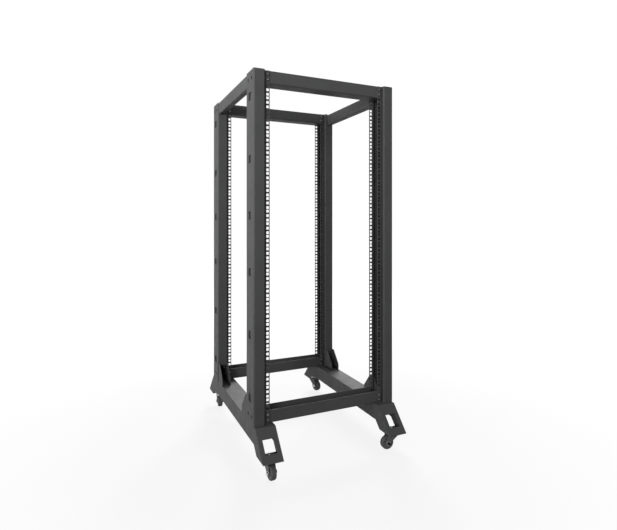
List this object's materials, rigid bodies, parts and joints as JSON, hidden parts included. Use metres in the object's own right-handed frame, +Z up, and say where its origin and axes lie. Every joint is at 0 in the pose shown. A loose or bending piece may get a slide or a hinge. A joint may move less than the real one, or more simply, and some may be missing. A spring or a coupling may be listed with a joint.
{
  "type": "open four-post server rack frame on casters",
  "caption": "Open steel four-post equipment rack with square-hole flanges, top and bottom cross beams, side beams and sloped-foot base members on swivel casters.",
  "frame": {"origin": "on the floor under the middle of the rack", "axes": "+Z up, front of the rack towards -Y, +X to the right of someone facing the front"},
  "size_m": [0.576, 0.788, 1.402],
  "materials": {
    "frame_paint": "matt dark grey powder coat",
    "fork_paint": "satin grey",
    "zinc": "zinc plated",
    "wheel_nylon": "moulded",
    "tyre_rubber": "matt"
  },
  "bodies": {
    "frame": {"post_front_left": "frame_paint", "post_front_right": "frame_paint", "post_rear_left": "frame_paint", "post_rear_right": "frame_paint", "top_beam_front": "frame_paint", "top_beam_rear": "frame_paint", "bottom_beam_front": "frame_paint", "bottom_beam_rear": "frame_paint", "top_beam_left": "frame_paint", "top_beam_right": "frame_paint", "base_left": "frame_paint", "base_right": "frame_paint", "caster_front_left_stem": "zinc", "caster_front_left_nut": "zinc", "caster_front_right_stem": "zinc", "caster_front_right_nut": "zinc", "caster_rear_left_stem": "zinc", "caster_rear_left_nut": "zinc", "caster_rear_right_stem": "zinc", "caster_rear_right_nut": "zinc"},
    "fork_front_left": {"caster_front_left_fork": "fork_paint", "caster_front_left_axle": "zinc"},
    "wheel_front_left": {"caster_front_left_hub": "wheel_nylon", "caster_front_left_tyre": "tyre_rubber"},
    "fork_front_right": {"caster_front_right_fork": "fork_paint", "caster_front_right_axle": "zinc"},
    "wheel_front_right": {"caster_front_right_hub": "wheel_nylon", "caster_front_right_tyre": "tyre_rubber"},
    "fork_rear_left": {"caster_rear_left_fork": "fork_paint", "caster_rear_left_axle": "zinc"},
    "wheel_rear_left": {"caster_rear_left_hub": "wheel_nylon", "caster_rear_left_tyre": "tyre_rubber"},
    "fork_rear_right": {"caster_rear_right_fork": "fork_paint", "caster_rear_right_axle": "zinc"},
    "wheel_rear_right": {"caster_rear_right_hub": "wheel_nylon", "caster_rear_right_tyre": "tyre_rubber"}
  },
  "joints": [
    {"name": "swivel_front_left", "type": "hinge", "parent": "frame", "child": "fork_front_left", "pos_m": [-0.2487, -0.348, 0.0592], "axis": [0, 0, 1], "continuous": true},
    {"name": "roll_front_left", "type": "hinge", "parent": "fork_front_left", "child": "wheel_front_left", "pos_m": [-0.2473, -0.36795, 0.025], "axis": [0.9976, 0.0698, 0], "continuous": true},
    {"name": "swivel_front_right", "type": "hinge", "parent": "frame", "child": "fork_front_right", "pos_m": [0.2487, -0.348, 0.0592], "axis": [0, 0, 1], "continuous": true},
    {"name": "roll_front_right", "type": "hinge", "parent": "fork_front_right", "child": "wheel_front_right", "pos_m": [0.22875, -0.3466, 0.025], "axis": [-0.0698, -0.9976, 0], "continuous": true},
    {"name": "swivel_rear_left", "type": "hinge", "parent": "frame", "child": "fork_rear_left", "pos_m": [-0.2487, 0.348, 0.0592], "axis": [0, 0, 1], "continuous": true},
    {"name": "roll_rear_left", "type": "hinge", "parent": "fork_rear_left", "child": "wheel_rear_left", "pos_m": [-0.25148, 0.3282, 0.025], "axis": [0.9903, -0.1392, 0], "continuous": true},
    {"name": "swivel_rear_right", "type": "hinge", "parent": "frame", "child": "fork_rear_right", "pos_m": [0.2487, 0.348, 0.0592], "axis": [0, 0, 1], "continuous": true},
    {"name": "roll_rear_right", "type": "hinge", "parent": "fork_rear_right", "child": "wheel_rear_right", "pos_m": [0.25286, 0.32844, 0.025], "axis": [0.9781, 0.2079, 0], "continuous": true}
  ]
}
